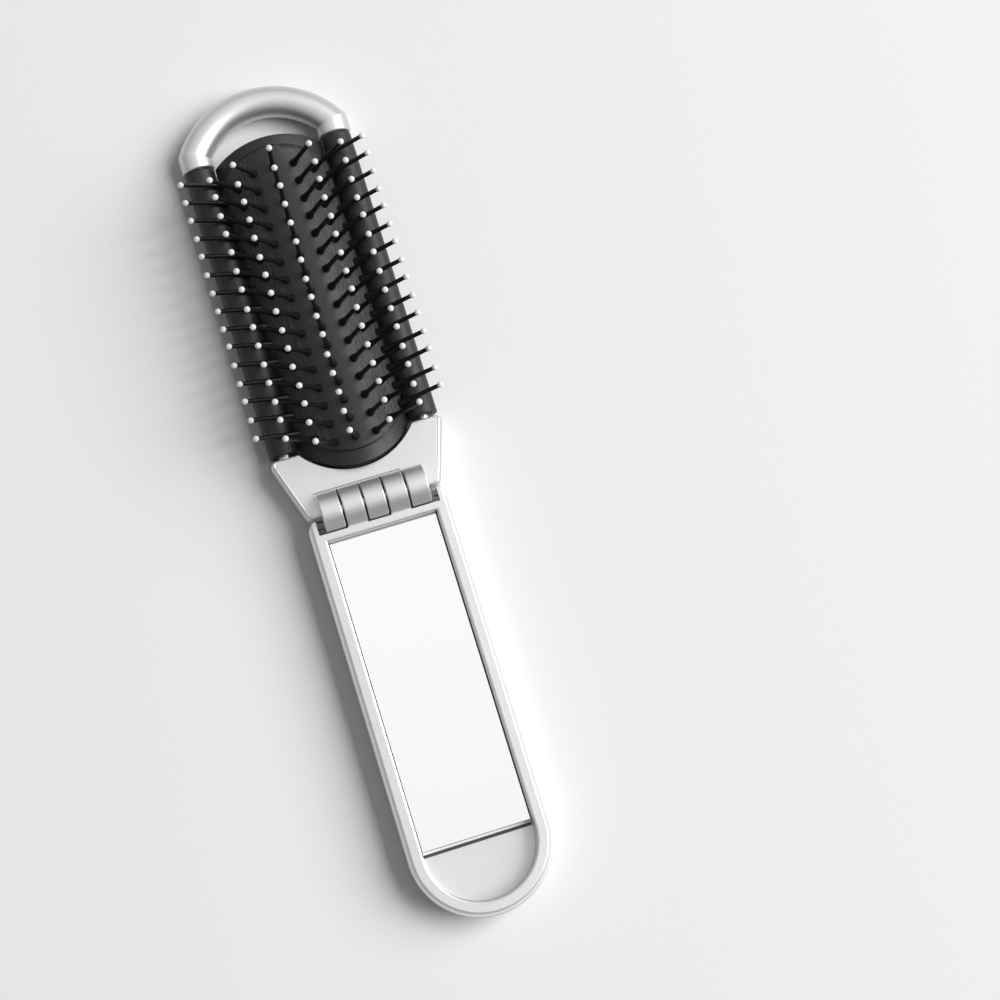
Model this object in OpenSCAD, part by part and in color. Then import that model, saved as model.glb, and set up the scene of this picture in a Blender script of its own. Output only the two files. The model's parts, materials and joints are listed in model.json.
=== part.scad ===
// Folding hairbrush with a mirror in its handle, open and lying on its back.
// X runs across the brush, +Y points to the bow at the brush end, +Z is up,
// out of the bristles. The origin is under the middle of the open brush.
// Every module draws with the hinge axis at y = 0; place() moves it home.

/* [Reach] */
// Distance from the hinge axis to the outer end of the bow
head_reach = 102.9; // [98:0.1:108]
// Distance from the hinge axis to the round end of the handle
handle_reach = 97.4; // [90:0.1:97.6]

/* [Hinge] */
// Height of the hinge axis above the flat back
hinge_z = 8.6; // [8.5:0.05:9]
// Outer diameter of the five hinge knuckles
knuckle_d = 9; // [8:0.1:9.2]
// Centre distance of neighbouring knuckles
knuckle_pitch = 5.1; // [4.8:0.05:5.2]
// Slit between neighbouring knuckles
knuckle_gap = 0.3; // [0.2:0.05:0.4]
// Diameter of the steel hinge pin
pin_d = 2.6; // [2:0.1:3]

/* [Frame of the head] */
// Distance of each side rod from the middle
rod_x = 16.6; // [16.2:0.1:17]
// Height of the side rods above the flat back
rod_z = 3.9; // [3.8:0.1:4]
// Diameter of a side rod
rod_d = 3; // [2.6:0.1:3.2]
// Outer diameter of the black sleeves that turn on the rods
sleeve_d = 7.1; // [6.8:0.1:7.2]
// Near end of the sleeves, measured from the hinge axis
sleeve_start = 16.5; // [16.2:0.1:17]
// Length of the sleeves
sleeve_length = 69.8; // [69.5:0.1:70]
// Diameter of the silver tube that the bow is bent from
bow_d = 7.8; // [7.2:0.1:7.8]
// Radius of the bow, to the middle of its tube
bow_r = 19.6; // [19.4:0.1:20]

/* [Shoulder plate] */
// Half width of the plate beside the sleeves
plate_top_half = 20.4; // [20:0.1:20.8]
// Half width of the plate at the hinge
plate_hinge_half = 16.2; // [15.8:0.1:16.5]
// End of the plate towards the sleeves
plate_top_y = 15; // [14.8:0.1:15.2]
// End of the plate towards the handle
plate_hinge_y = -0.9; // [-1:0.1:-0.8]
// Height of the plate's flat top
plate_h = 7.6; // [7.2:0.1:7.7]
// Rounding of the plate's edges
plate_round = 1.5; // [1:0.1:1.8]

/* [Pad] */
// Outer radius of the vaulted pad
vault_r = 16; // [15.8:0.1:16.2]
// Height of the pad's crown above the flat back
crown_z = 11.8; // [11.6:0.1:12]
// Thickness of the pad
pad_t = 1.4; // [1.2:0.1:1.5]
// Radius of the pad's round ends
pad_end_r = 16.8; // [16.4:0.1:17]
// Middle of the round end beside the hinge
pad_end_hinge_y = 25.2; // [25:0.1:25.4]
// Middle of the round end beside the bow
pad_end_bow_y = 73.4; // [73:0.1:73.6]
// Width of the lower border at the pad's ends
border_w = 3.3; // [2:0.1:4]
// Depth of the step from the pad down to its border
border_step = 0.5; // [0.3:0.1:0.6]

/* [Pins] */
// Spacing of the pins along a row
pin_pitch = 4.4; // [4.3:0.05:4.4]
// Length of a pin from the pad to the middle of its ball
pin_length = 12; // [11:0.1:12]
// Radius of a pin's conical root
root_r = 0.95; // [0.8:0.05:1]
// Height of the conical root
root_h = 3.4; // [2:0.1:4]
// Radius of the ball on a pin
ball_r = 0.8; // [0.7:0.05:1]

/* [Handle] */
// Half width of the rounded back shell
shell_half = 16.5; // [16.2:0.1:16.7]
// Half width of the flat rim of the tray
rim_half = 15.7; // [15.5:0.1:15.9]
// Half width of the recess that the mirror lies in
recess_half = 12.95; // [12.9:0.05:13.1]
// Height of the rim
rim_z = 9; // [8.8:0.1:9]
// Height of the seam between shell and tray
seam_z = 7.9; // [7.8:0.1:8]
// Floor of the tray's recess
floor_z = 3.9; // [3.8:0.1:4]
// Rounding of the shell's back edges
shell_round = 3.5; // [2.5:0.1:3.7]
// Length of the mirror
mirror_l = 73.4; // [70:0.1:74]
// Thickness of the mirror
mirror_t = 1.4; // [1:0.1:1.5]
// Thickness of the sticky sheet under the mirror
tape_t = 0.3; // [0.2:0.1:0.4]

/* [Hidden] */
$fn = 64;
fine_fn = 128;
round_fn = 32;
pin_fn = 16;
ball_fn = 24;

hinge_y = (handle_reach - head_reach) / 2;
eps = 0.01;
big = 400;

// hinge
knuckles = 5;
knuckle_r = knuckle_d / 2;
knuckle_w = knuckle_pitch - knuckle_gap;
knuckle_edge = 0.35;
hinge_clear_r = knuckle_r + 0.3;
running_fit = 0.05;
pin_end_inset = 0.3;
head_knuckles = [0, 2, 4];
handle_knuckles = [1, 3];

// relief under the plate's bay, which lets the ends of the pad's sides swing down
bay_relief_r = 4.35;
bay_relief_h = 3.2;

// rods, sleeves and bow
sleeve_fit = 0.1;
sleeve_edge = 0.7;
sleeve_end = sleeve_start + sleeve_length;
socket_y = 8.5;
collar_gap = 0.3;
collar_start = sleeve_end + collar_gap;
collar_d = 7.4;
collar_edge = 0.4;
bow_y = head_reach - bow_d / 2 - bow_r;
bow_half_angle = asin(rod_x / bow_r);
mitre_y = bow_y + bow_r * cos(bow_half_angle);
mitre_angle = (90 - bow_half_angle) / 2;
mitre_overlap = 6;
rod_top_y = mitre_y + 0.6;

// pad
vault_z = crown_z - vault_r;
vault_inner_r = vault_r - pad_t;
pad_gap = 0.35;
center_half = 5.8;
center_angle = asin(center_half / vault_r);
flap_angle = 30;
flap_foot_angle = 62;
web_t = 0.7;
web_gap_angle = 0.3;
groove_w = 1.6;
groove_d = 0.8;

// pins: angle of each row on the vault, further lean of its pins, number of
// pins, first pin, end of the strip past the first and last pin
row_angles = [0, 17.5, 34, 50];
row_leans = [0, 0, 0, 2];
row_counts = [16, 16, 15, 15];
row_first = [14.5, 14.5, 16.8, 19.9];
row_margin = 1.3;
CENTER = 0;
INNER = 1;
MIDDLE = 2;
OUTER = 3;
shaft_r = 0.5;
shaft_top_r = 0.4;
ball_socket = 0.5;

// handle
end_y = -(handle_reach - shell_half);
prong_y = -1.2;
shell_wall = 1.5;
shell_floor = 1.3;
tray_fit = 0.1;
tray_half = shell_half - shell_wall - tray_fit;
tray_floor_t = 1;
pocket_half = 14.3;
pocket_open = 2;
tray_corner_r = 1.2;
crossbar_y = -6.6;
hinge_corner_r = 2.6;
rim_edge = 0.5;
mirror_half = recess_half - 0.1;
mirror_gap = 0.05;
tape_inset = 1;
leg_y = -5.4;
leg_bottom = floor_z;

silver = "#c9cbcd";
black = "#1d1d1f";
white = "#f3f3f1";

// ---- helpers ----------------------------------------------------------------

// Moves a module from the hinge axis to the middle of the open brush
module place() {
    translate([0, hinge_y, 0]) children();
}

// Cylinder along X
module along_x(r, x_from, x_to) {
    translate([x_from, 0, 0]) rotate([0, 90, 0]) cylinder(r = r, h = x_to - x_from);
}

// Cylinder along Y
module along_y(r, y_from, y_to) {
    translate([0, y_from, 0]) rotate([-90, 0, 0]) cylinder(r = r, h = y_to - y_from);
}

function knuckle_x(i) = (i - (knuckles - 1) / 2) * knuckle_pitch;

// Knuckle barrel with broken edges, its axis along X
module knuckle(i) {
    translate([knuckle_x(i) - knuckle_w / 2, 0, hinge_z])
    rotate([0, 90, 0])
    rotate_extrude()
    polygon([[0, 0], [knuckle_r - knuckle_edge, 0], [knuckle_r, knuckle_edge],
             [knuckle_r, knuckle_w - knuckle_edge],
             [knuckle_r - knuckle_edge, knuckle_w], [0, knuckle_w]]);
}

// Room that a knuckle of the other half turns in
module knuckle_room(i) {
    translate([0, 0, hinge_z])
    along_x(hinge_clear_r, knuckle_x(i) - knuckle_pitch / 2 - knuckle_gap / 2,
            knuckle_x(i) + knuckle_pitch / 2 + knuckle_gap / 2);
}

module pin_bore(r) {
    translate([0, 0, hinge_z]) along_x(r, -big / 2, big / 2);
}

// All that lies on the hinge side of the mitre between right collar and bow
module behind_mitre() {
    translate([rod_x, mitre_y, rod_z]) rotate([0, 0, mitre_angle])
        translate([-big / 2, -big, -big / 2]) cube([big, big, big]);
}

// ---- head frame -------------------------------------------------------------

// Tapered plate with rounded edges and a round bay for the pad's end
module plate_body() {
    corners = [
        [plate_hinge_half - plate_round, plate_hinge_y + plate_round],
        [plate_top_half - plate_round, plate_top_y - plate_round]];
    hull() for (side = [-1, 1], c = corners) translate([side * c.x, c.y, 0]) {
        translate([0, 0, plate_h - plate_round]) sphere(r = plate_round, $fn = round_fn);
        translate([0, 0, plate_round]) sphere(r = plate_round, $fn = round_fn);
    }
}

module shoulder_plate() {
    bay_r = pad_end_r + pad_gap;
    color(silver) difference() {
        union() {
            difference() {
                plate_body();
                translate([0, pad_end_hinge_y, -1]) cylinder(r = bay_r, h = plate_h + 2, $fn = fine_fn);
                translate([0, pad_end_hinge_y, 0]) cylinder(r1 = bay_r + bay_relief_r, r2 = bay_r,
                                                            h = bay_relief_h, $fn = fine_fn);
                for (i = handle_knuckles) knuckle_room(i);
            }
            for (i = head_knuckles) knuckle(i);
        }
        pin_bore(pin_d / 2);
        for (side = [-1, 1]) translate([side * rod_x, 0, rod_z])
            along_y(rod_d / 2, socket_y, plate_top_y + 1);
    }
}

// Straight collar of the bow at the right, a little slimmer and cut to its mitre
module bow_collar() {
    length = mitre_y - collar_start + bow_d / 2;
    intersection() {
        translate([rod_x, collar_start, rod_z]) rotate([-90, 0, 0]) rotate_extrude()
            polygon([[0, 0], [collar_d / 2 - collar_edge, 0], [collar_d / 2, collar_edge],
                     [collar_d / 2, length], [0, length]]);
        behind_mitre();
    }
}

module end_bow() {
    sweep = bow_half_angle + mitre_overlap;
    color(silver) difference() {
        union() {
            difference() {
                translate([0, bow_y, rod_z]) rotate([0, 0, 90 - sweep])
                    rotate_extrude(angle = 2 * sweep) translate([bow_r, 0]) circle(d = bow_d);
                behind_mitre();
                mirror([1, 0, 0]) behind_mitre();
            }
            bow_collar();
            mirror([1, 0, 0]) bow_collar();
        }
        for (side = [-1, 1]) translate([side * rod_x, 0, rod_z])
            along_y(rod_d / 2, collar_start - 1, rod_top_y);
    }
}

module side_rod(side) {
    color(silver) translate([side * rod_x, 0, rod_z])
        along_y(rod_d / 2, socket_y, rod_top_y);
}

module hinge_pin() {
    half = (knuckles * knuckle_pitch - knuckle_gap) / 2 - pin_end_inset;
    color("silver") translate([0, 0, hinge_z]) along_x(pin_d / 2, -half, half);
}

// ---- pad --------------------------------------------------------------------

// Plan of the pad: straight sides and round ends, drawn smaller by inset
module pad_plan(inset) {
    r = pad_end_r - inset;
    for (y = [pad_end_hinge_y, pad_end_bow_y]) translate([0, y]) circle(r = r, $fn = fine_fn);
    translate([-r, pad_end_hinge_y]) square([2 * r, pad_end_bow_y - pad_end_hinge_y]);
}

// Slice of the vault between two angles from its crown, seen along Y
module vault_slice(from, to, r_in, r_out) {
    translate([0, pad_end_bow_y + pad_end_r + 1, vault_z]) rotate([90, 0, 0])
        linear_extrude(height = pad_end_bow_y - pad_end_hinge_y + 2 * pad_end_r + 2)
            intersection() {
                difference() {
                    circle(r = r_out, $fn = fine_fn);
                    circle(r = r_in, $fn = fine_fn);
                }
                polygon([[0, 0], [big * sin(from), big * cos(from)],
                         [big * sin(to), big * cos(to)]]);
            }
}

// Vault with the lower border at its round ends
module pad_skin(from, to) {
    intersection() {
        vault_slice(from, to, vault_inner_r, vault_r - border_step);
        linear_extrude(height = crown_z + 1) pad_plan(0);
    }
    intersection() {
        vault_slice(from, to, vault_inner_r, vault_r);
        linear_extrude(height = crown_z + 1) pad_plan(border_w);
    }
}

// Moves to the frame of a row: z along its pins, x = y = 0 at its foot
module row_frame(row, side) {
    translate([0, 0, vault_z]) rotate([0, side * row_angles[row], 0])
        translate([0, 0, vault_r]) rotate([0, side * row_leans[row], 0]) children();
}

// Strip that carries the pins of a row, let into the pad by groove_d
module row_strip(row, side, height) {
    row_frame(row, side)
        translate([-groove_w / 2, row_first[row] - row_margin, -groove_d])
            cube([groove_w, (row_counts[row] - 1) * pin_pitch + 2 * row_margin, height]);
}

module row_seats(rows, side) {
    for (row = rows) row_strip(row, side, 2 * groove_d);
}

module pad_center() {
    color(black) difference() {
        pad_skin(-center_angle, center_angle);
        row_seats([CENTER, INNER], 1);
        row_seats([INNER], -1);
    }
}

module pad_flap(side) {
    color(black) difference() {
        mirror([side < 0 ? 1 : 0, 0, 0]) pad_skin(flap_angle, flap_foot_angle);
        row_seats([MIDDLE, OUTER], side);
        sleeve_room(side);
    }
}

// Room of a sleeve, cut from what is joined to it
module sleeve_room(side) {
    translate([side * rod_x, 0, rod_z]) along_y(sleeve_d / 2, 0, head_reach);
}

module pad_sleeve(side) {
    edge = sleeve_edge;
    r = sleeve_d / 2;
    bore = rod_d / 2 + sleeve_fit;
    color(black) translate([side * rod_x, sleeve_start, rod_z]) rotate([-90, 0, 0])
        rotate_extrude()
            polygon([[bore, 0], [r - edge, 0], [r - edge / 4, edge / 4], [r, edge],
                     [r, sleeve_length - edge], [r - edge / 4, sleeve_length - edge / 4],
                     [r - edge, sleeve_length], [bore, sleeve_length]]);
}

// Thin bending strip between the middle of the pad and a flap
module pad_web(side) {
    color(black) mirror([side < 0 ? 1 : 0, 0, 0]) intersection() {
        vault_slice(center_angle + web_gap_angle, flap_angle - web_gap_angle,
                    vault_r - pad_t / 2 - web_t / 2, vault_r - pad_t / 2 + web_t / 2);
        linear_extrude(height = crown_z + 1) pad_plan(border_w / 2);
    }
}

// ---- pins -------------------------------------------------------------------

// Half profile of a pin: conical root, slim shaft, end inside the ball
module pin_profile() {
    top = pin_length - ball_socket;
    polygon([[0, -eps], [root_r, -eps], [root_r, 0], [shaft_r, root_h],
             [shaft_top_r, top], [0, top]]);
}

module pins_of_row(row, side) {
    row_frame(row, side) for (i = [0 : row_counts[row] - 1])
        translate([0, row_first[row] + i * pin_pitch, 0]) children();
}

// Row of pins on its strip
module pin_row(row, side) {
    color(black) union() {
        row_strip(row, side, groove_d);
        pins_of_row(row, side) rotate_extrude($fn = pin_fn) pin_profile();
    }
}

module tips(row, side) {
    color(white) pins_of_row(row, side) difference() {
        translate([0, 0, pin_length]) sphere(r = ball_r, $fn = ball_fn);
        rotate_extrude($fn = pin_fn) pin_profile();
    }
}

// ---- handle -----------------------------------------------------------------

// Plan of the handle: straight sides, one round end, corners at the hinge
module handle_plan(half, corner_r) {
    translate([0, end_y]) circle(r = half, $fn = fine_fn);
    translate([-half, end_y]) square([2 * half, prong_y - corner_r - end_y]);
    translate([-half + corner_r, end_y]) square([2 * (half - corner_r), prong_y - end_y]);
    for (side = [-1, 1]) translate([side * (half - corner_r), prong_y - corner_r])
        circle(r = corner_r);
}

// Half of the shell's cross-section, with its rounded back edge
module shell_profile(half, bottom, top, round_r) {
    translate([0, bottom + round_r]) square([half, top - bottom - round_r]);
    translate([0, bottom]) square([half - round_r, round_r + eps]);
    intersection() {
        translate([half - round_r, bottom + round_r]) circle(r = round_r);
        square([half, top]);
    }
}

module shell_form(half, bottom, top, round_r) {
    translate([0, end_y, 0]) rotate_extrude($fn = fine_fn)
        shell_profile(half, bottom, top, round_r);
    for (m = [0, 1]) mirror([m, 0, 0]) translate([0, prong_y, 0]) rotate([90, 0, 0])
        linear_extrude(height = prong_y - end_y) shell_profile(half, bottom, top, round_r);
}

module handle_shell() {
    inner = shell_half - shell_wall;
    color(silver) difference() {
        intersection() {
            shell_form(shell_half, 0, seam_z, shell_round);
            translate([0, 0, -1]) linear_extrude(height = seam_z + 2)
                handle_plan(shell_half, hinge_corner_r);
        }
        translate([0, 0, shell_floor]) linear_extrude(height = seam_z)
            intersection() {
                handle_plan(inner, hinge_corner_r);
                translate([-big / 2, -big - shell_wall + prong_y]) square([big, big]);
            }
        for (i = [0 : knuckles - 1]) knuckle_room(i);
        translate([0, 0, hinge_z])
            along_x(hinge_clear_r, -pocket_half, pocket_half);
    }
}

module handle_tray() {
    color(silver) difference() {
        union() {
            difference() {
                union() {
                    translate([0, 0, seam_z]) linear_extrude(height = rim_z - seam_z - rim_edge)
                        handle_plan(rim_half, tray_corner_r);
                    translate([0, 0, rim_z - rim_edge]) linear_extrude(height = rim_edge)
                        handle_plan(rim_half - rim_edge / 2, tray_corner_r);
                    translate([0, 0, floor_z - tray_floor_t])
                        linear_extrude(height = seam_z - floor_z + tray_floor_t + eps)
                        intersection() {
                            handle_plan(tray_half, hinge_corner_r);
                            translate([-big / 2, -big - shell_wall - tray_fit + prong_y])
                                square([big, big]);
                        }
                }
                translate([0, 0, floor_z]) linear_extrude(height = rim_z) recess_plan(0);
                translate([0, 0, rim_z - rim_edge]) linear_extrude(height = rim_z)
                    recess_plan(rim_edge);
                translate([0, 0, hinge_z])
                    along_x(hinge_clear_r, -pocket_half, pocket_half);
                translate([-pocket_half, prong_y - pocket_open, hinge_z])
                    cube([2 * pocket_half, 2 * pocket_open, knuckle_r]);
            }
            for (i = handle_knuckles) {
                knuckle(i);
                translate([knuckle_x(i) - knuckle_w / 2, leg_y, leg_bottom])
                    cube([knuckle_w, -leg_y - knuckle_r / 2, rim_z - leg_bottom]);
            }
        }
        pin_bore(pin_d / 2 + running_fit);
    }
}

// Plan of the recess: square at the hinge, round at the end
module recess_plan(grow) {
    half = recess_half + grow;
    translate([0, end_y]) circle(r = half, $fn = fine_fn);
    translate([-half, end_y]) square([2 * half, crossbar_y + grow - end_y]);
}

module mirror_sheet(inset, z, t) {
    top_y = crossbar_y - mirror_gap;
    translate([-mirror_half + inset, top_y - mirror_l + inset, z])
        cube([2 * (mirror_half - inset), mirror_l - 2 * inset, t]);
}

module mirror_glass() {
    color("white") mirror_sheet(0, floor_z + tape_t, mirror_t);
}

module mirror_tape() {
    color("dimgray") mirror_sheet(tape_inset, floor_z, tape_t);
}

// ---- nodes ------------------------------------------------------------------

place() shoulder_plate();
place() end_bow();
place() side_rod(-1);  // side_rod_left
place() side_rod(1);  // side_rod_right
place() hinge_pin();
place() pad_center();
place() pad_flap(-1);  // pad_flap_left
place() pad_flap(1);  // pad_flap_right
place() pad_sleeve(-1);  // pad_sleeve_left
place() pad_sleeve(1);  // pad_sleeve_right
place() pad_web(-1);  // pad_web_left
place() pad_web(1);  // pad_web_right
place() pin_row(CENTER, 1);  // pin_row_center
place() pin_row(INNER, -1);  // pin_row_inner_left
place() pin_row(INNER, 1);  // pin_row_inner_right
place() pin_row(MIDDLE, -1);  // pin_row_middle_left
place() pin_row(MIDDLE, 1);  // pin_row_middle_right
place() pin_row(OUTER, -1);  // pin_row_outer_left
place() pin_row(OUTER, 1);  // pin_row_outer_right
place() tips(CENTER, 1);  // tips_center
place() tips(INNER, -1);  // tips_inner_left
place() tips(INNER, 1);  // tips_inner_right
place() tips(MIDDLE, -1);  // tips_middle_left
place() tips(MIDDLE, 1);  // tips_middle_right
place() tips(OUTER, -1);  // tips_outer_left
place() tips(OUTER, 1);  // tips_outer_right
place() handle_tray();
place() handle_shell();
place() mirror_glass();  // mirror
place() mirror_tape();
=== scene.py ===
"""Looks of the folding hairbrush: finish, fine edges, pad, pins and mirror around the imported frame."""

import json
import math
import random

import bmesh
import bpy
from mathutils import Matrix, Vector

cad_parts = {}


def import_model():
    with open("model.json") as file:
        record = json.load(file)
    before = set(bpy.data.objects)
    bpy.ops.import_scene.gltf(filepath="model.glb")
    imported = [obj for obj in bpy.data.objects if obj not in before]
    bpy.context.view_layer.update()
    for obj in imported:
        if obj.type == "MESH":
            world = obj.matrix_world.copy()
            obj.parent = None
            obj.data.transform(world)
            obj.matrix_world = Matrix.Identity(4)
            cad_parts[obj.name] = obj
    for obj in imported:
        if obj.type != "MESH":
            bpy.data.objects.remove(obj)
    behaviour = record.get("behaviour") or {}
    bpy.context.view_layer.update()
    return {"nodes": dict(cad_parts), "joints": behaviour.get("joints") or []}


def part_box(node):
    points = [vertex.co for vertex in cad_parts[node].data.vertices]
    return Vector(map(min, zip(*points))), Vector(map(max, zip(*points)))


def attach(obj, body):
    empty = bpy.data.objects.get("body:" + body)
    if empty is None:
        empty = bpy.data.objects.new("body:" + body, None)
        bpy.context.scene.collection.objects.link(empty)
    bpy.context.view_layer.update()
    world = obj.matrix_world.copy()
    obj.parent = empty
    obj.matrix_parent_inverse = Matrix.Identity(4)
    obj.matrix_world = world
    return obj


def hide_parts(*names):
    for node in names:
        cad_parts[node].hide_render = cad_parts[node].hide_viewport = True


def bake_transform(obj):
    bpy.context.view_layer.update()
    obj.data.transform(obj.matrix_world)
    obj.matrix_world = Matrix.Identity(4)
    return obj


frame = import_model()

MM = 0.001

# ---- sizes that the frame gives ---------------------------------------------------

JOINTS = {joint["name"]: joint for joint in frame["joints"]}
HINGE = Vector(JOINTS["handle_fold"]["pos_m"])
ROD = Vector(JOINTS["right_side_turn"]["pos_m"])
# Lowest and highest corners of the solids
BOW_LO, BOW_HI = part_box("end_bow")
SLEEVE_LO, SLEEVE_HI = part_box("pad_sleeve_right")
PAD_LO, PAD_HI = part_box("pad_center")
SHELL_LO, SHELL_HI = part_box("handle_shell")
MIRROR_LO, MIRROR_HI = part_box("mirror")

# ---- sizes that the frame can't say, as in the solids ------------------------------

BOW_RADIUS = 19.6 * MM
BOW_TUBE = (BOW_HI.z - BOW_LO.z) / 2
BOW_CENTER_Y = BOW_HI.y - BOW_TUBE - BOW_RADIUS
COLLAR_START = BOW_LO.y
SLEEVE_R = (SLEEVE_HI.z - SLEEVE_LO.z) / 2

KNUCKLE_R = 4.5 * MM
KNUCKLE_PITCH = 5.1 * MM
KNUCKLE_GAP = 0.42 * MM
KNUCKLES = 5
HEAD_KNUCKLES = (0, 2, 4)
HANDLE_KNUCKLES = (1, 3)
# Room that the knuckles turn in: its radius and how far it reaches past a knuckle's share of the pin
ROOM_R = KNUCKLE_R + 0.3 * MM
ROOM_MORE = 0.15 * MM

PLATE_TOP_Z = 7.6 * MM
PLATE_ROUND = 1.5 * MM
# Corners of the plate's plan inside its rounding, at the hinge and at the sleeves
PLATE_FOOT = (14.7 * MM, HINGE.y + 0.6 * MM)
PLATE_HEAD = (18.9 * MM, HINGE.y + 13.5 * MM)

PAD_R = 16 * MM
PAD_THICK = 1.4 * MM
PAD_AXIS_Z = PAD_HI.z - PAD_R
PAD_END_R = 16.8 * MM
PAD_END_Y = (PAD_LO.y + PAD_END_R, PAD_HI.y - PAD_END_R)
PAD_GAP = 0.35 * MM
BORDER_W = 3.3 * MM
BORDER_STEP = 0.5 * MM
# Rounded rim of the pad and the number of its steps
RIM_EDGE = 0.3 * MM
RIM_STEPS = 5
# At the hinge: the border's fall to its rim, the rim's reach toward the plate and its skirt's depth
BORDER_SLOPE = 0.7 * MM
RIM_NEARER = 0.2 * MM
SKIRT = 2.6 * MM
# The pad's end at the bow: radius and place of its rim and of its step line
BOW_RIM_R = 40 * MM
BOW_RIM_Y = HINGE.y + 88.45 * MM
BOW_STEP_R = 21 * MM
BOW_STEP_Y = HINGE.y + 85.75 * MM
# Where the pad's middle ends, and where its flanks begin and end, from the crown
MIDDLE_ANGLE = math.asin(5.8 * MM / PAD_R)
FLANK_ANGLE = math.radians(30)
FLANK_FOOT_ANGLE = math.radians(56)

PIN_PITCH = 4.4 * MM
PIN_LENGTH = 12 * MM
# Balls: radius in the solids, which places them, and radius shown
TIP_R = 0.8 * MM
BALL_R = 0.72 * MM
ROOT_R = 1.0 * MM
ROOT_H = 3.4 * MM
SHAFT_R = 0.54 * MM
SHAFT_TOP_R = 0.5 * MM
# Random turn of each pin along and across the brush, in degrees either way
TURN_ALONG, TURN_ACROSS = 0.8, 0.7
# Rows of pins: angle of their feet on the vault and the further lean of the pins, in degrees
ROWS = {"center": (0, 0), "inner": (17.5, 0), "middle": (34, 0), "outer": (50, 2)}
# How far the tips stand from their straight places, in mm: across and along the brush at the
# hinge end of the row, then at its bow end. The inner and outer rows pass each other when folded.
SWAYS = {"center": (-1.6, -0.55, -0.3, 0.5),
         "inner_left": (-1.1, -0.6, -0.8, -0.5), "inner_right": (-0.8, -0.5, 0.4, -0.3),
         "middle_left": (0.1, 0.0, 0.7, 0.75), "middle_right": (-0.15, -0.35, 0.45, 1.4),
         "outer_left": (0.0, 0.1, 0.0, 0.1), "outer_right": (0.0, 0.1, 0.0, 0.1)}

SHELL_HALF = SHELL_HI.x
RIM_HALF = 15.7 * MM
RECESS_HALF = 12.95 * MM
TRAY_BODY_HALF = 14.9 * MM
HANDLE_CORNER = 2.6 * MM
RIM_Z = 9 * MM
SEAM_Z = 7.9 * MM
FLOOR_Z = 3.9 * MM
HANDLE_TOP_Y = SHELL_HI.y
END_Y = SHELL_LO.y + SHELL_HALF
CROSSBAR_Y = HINGE.y - 6.6 * MM
POCKET_HALF = 14.3 * MM

# How far cutters reach past what they cut
BEYOND = 1 * MM
# Corner radius of outlines that look sharp
SHARP = 0.02 * MM

# ---- meshes -----------------------------------------------------------------------


def new_object(name, verts, faces):
    """A linked mesh object with outward normals."""
    mesh = bpy.data.meshes.new(name)
    mesh.from_pydata([tuple(v) for v in verts], [], faces)
    bm = bmesh.new()
    bm.from_mesh(mesh)
    bmesh.ops.recalc_face_normals(bm, faces=bm.faces)
    bm.to_mesh(mesh)
    bm.free()
    obj = bpy.data.objects.new(name, mesh)
    bpy.context.scene.collection.objects.link(obj)
    return obj


def skin(name, rings, around=True, caps=True):
    """Skin over rings of equally many points; around closes each ring, caps closes both ends."""
    count = len(rings[0])
    verts = [point for ring in rings for point in ring]
    faces = []
    for k in range(len(rings) - 1):
        for i in range(count if around else count - 1):
            j = (i + 1) % count
            a, b = k * count, (k + 1) * count
            faces.append((a + i, a + j, b + j, b + i))
    if caps:
        faces.append(tuple(range(count)))
        faces.append(tuple(range((len(rings) - 1) * count, len(rings) * count)))
    return new_object(name, verts, faces)


def join(name, objects):
    """One object made of several."""
    bm = bmesh.new()
    for obj in objects:
        bm.from_mesh(obj.data)
        mesh = obj.data
        bpy.data.objects.remove(obj)
        bpy.data.meshes.remove(mesh)
    mesh = bpy.data.meshes.new(name)
    bm.to_mesh(mesh)
    bm.free()
    joined = bpy.data.objects.new(name, mesh)
    bpy.context.scene.collection.objects.link(joined)
    return joined


def apply_modifiers(obj):
    """Puts the modifiers' result in place of the mesh."""
    graph = bpy.context.evaluated_depsgraph_get()
    mesh = bpy.data.meshes.new_from_object(
        obj.evaluated_get(graph), preserve_all_data_layers=True, depsgraph=graph)
    obj.modifiers.clear()
    obj.data = mesh


def cut(obj, *cutters):
    """Takes the cutters out of obj."""
    for cutter in cutters:
        modifier = obj.modifiers.new("cut", "BOOLEAN")
        modifier.operation = "DIFFERENCE"
        modifier.solver = "EXACT"
        modifier.object = cutter
        apply_modifiers(obj)
        bpy.data.objects.remove(cutter)


def smooth(obj, angle=32, weighted=True):
    """Smooth shading that keeps edges sharper than angle; flat faces stay flat."""
    mesh = obj.data
    mesh.shade_smooth()
    mesh.set_sharp_from_angle(angle=math.radians(angle))
    if weighted:
        modifier = obj.modifiers.new("weighted", "WEIGHTED_NORMAL")
        modifier.keep_sharp = True
        modifier.weight = 80
        apply_modifiers(obj)
    return obj


def lathe(name, profile, steps=96, origin=(0, 0, 0), axis="Y"):
    """Turned solid: profile is a list of (place along the axis, radius)."""
    rings = []
    for along, radius in profile:
        ring = []
        for i in range(steps):
            a = math.tau * i / steps
            u, v = radius * math.cos(a), radius * math.sin(a)
            ring.append(Vector(origin) + Vector(
                {"X": (along, u, v), "Y": (u, along, v), "Z": (u, v, along)}[axis]))
        rings.append(ring)
    return skin(name, rings)


def quarter(count):
    """Shares (inset, drop) of a rounded edge, from the side face to the top face."""
    for i in range(count + 1):
        a = math.pi / 2 * i / count
        yield 1 - math.cos(a), 1 - math.sin(a)


def box(name, lo, hi):
    """Block between two corners, for cutters and hidden strips."""
    x0, y0, z0 = lo
    x1, y1, z1 = hi
    ring = [(x0, y0), (x1, y0), (x1, y1), (x0, y1)]
    return skin(name, [[(x, y, z0) for x, y in ring], [(x, y, z1) for x, y in ring]])


# ---- outlines, drawn larger by grow and, at their far end, by grow_end --------------


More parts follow.
